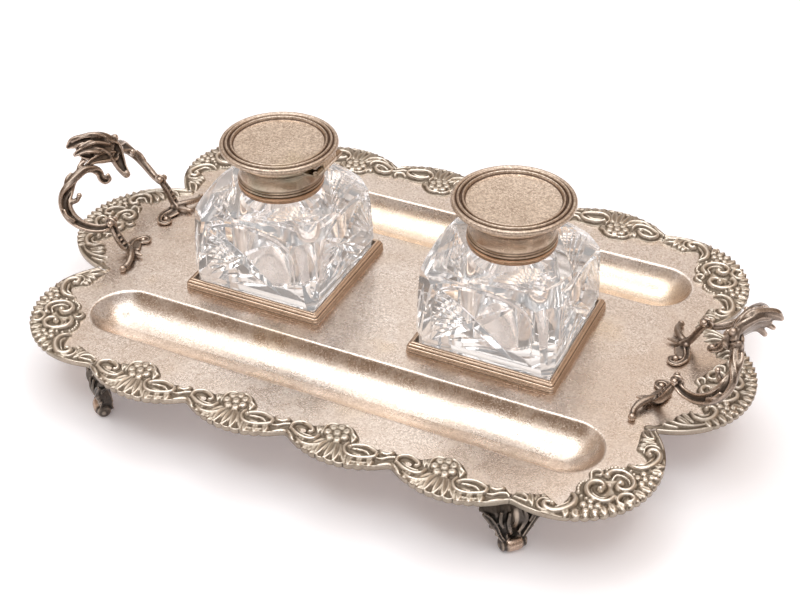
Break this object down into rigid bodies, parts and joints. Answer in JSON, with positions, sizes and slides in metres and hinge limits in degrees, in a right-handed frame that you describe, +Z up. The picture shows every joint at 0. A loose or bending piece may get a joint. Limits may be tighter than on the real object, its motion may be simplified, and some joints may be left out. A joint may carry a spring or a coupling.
{
  "type": "desk inkstand",
  "caption": "Scalloped footed desk tray with pen wells, end handles and square cut-glass inkwells that lift out and have hinged lids.",
  "frame": {"origin": "on the table, under the middle of the tray", "axes": "+X along the tray's length, +Y to the back, +Z up; the left inkwell is the one at -X"},
  "size_m": [0.3274, 0.2096, 0.0934],
  "materials": {
    "tray_silver": "tarnished silver plate over brass, satin",
    "cast_silver": "cast and silver plated, dark in the recesses",
    "moulding_silver": "silver plate worn to the brown metal",
    "dark_silver": "cast and silver plated, heavy brown patina",
    "collar_silver": "silver plate worn to the brown metal",
    "lid_silver": "tarnished silver plate, speckled",
    "crystal": "clear cut crystal, polished"
  },
  "bodies": {
    "tray": {"tray_plate": "tray_silver", "border_front": "cast_silver", "border_back": "cast_silver", "border_end_left": "cast_silver", "border_end_right": "cast_silver", "border_corner_front_left": "cast_silver", "border_corner_front_right": "cast_silver", "border_corner_back_left": "cast_silver", "border_corner_back_right": "cast_silver", "gallery_left": "moulding_silver", "gallery_right": "moulding_silver", "handle_left": "dark_silver", "handle_right": "dark_silver", "foot_front_left": "dark_silver", "foot_front_right": "dark_silver", "foot_back_left": "dark_silver", "foot_back_right": "dark_silver"},
    "inkwell_left": {"bottle_left": "crystal", "collar_left": "collar_silver", "hinge_leaf_left": "collar_silver", "hinge_pin_left": "dark_silver"},
    "inkwell_right": {"bottle_right": "crystal", "collar_right": "collar_silver", "hinge_leaf_right": "collar_silver", "hinge_pin_right": "dark_silver"},
    "lid_left": {"lid_left": "lid_silver", "lid_bezel_left": "lid_silver", "lid_leaf_left": "lid_silver"},
    "lid_right": {"lid_right": "lid_silver", "lid_bezel_right": "lid_silver", "lid_leaf_right": "lid_silver"}
  },
  "joints": [
    {"name": "inkwell_left_lift", "type": "slide", "parent": "tray", "child": "inkwell_left", "axis": [0, 0, 1], "range_m": [0, 0.07]},
    {"name": "inkwell_right_lift", "type": "slide", "parent": "tray", "child": "inkwell_right", "axis": [0, 0, 1], "range_m": [0, 0.07]},
    {"name": "lid_left_hinge", "type": "hinge", "parent": "inkwell_left", "child": "lid_left", "pos_m": [-0.03005, 0, 0.0873], "axis": [0, 1, 0], "range_deg": [0, 100]},
    {"name": "lid_right_hinge", "type": "hinge", "parent": "inkwell_right", "child": "lid_right", "pos_m": [0.05305, 0.023, 0.0873], "axis": [-1, 0, 0], "range_deg": [0, 100]}
  ]
}
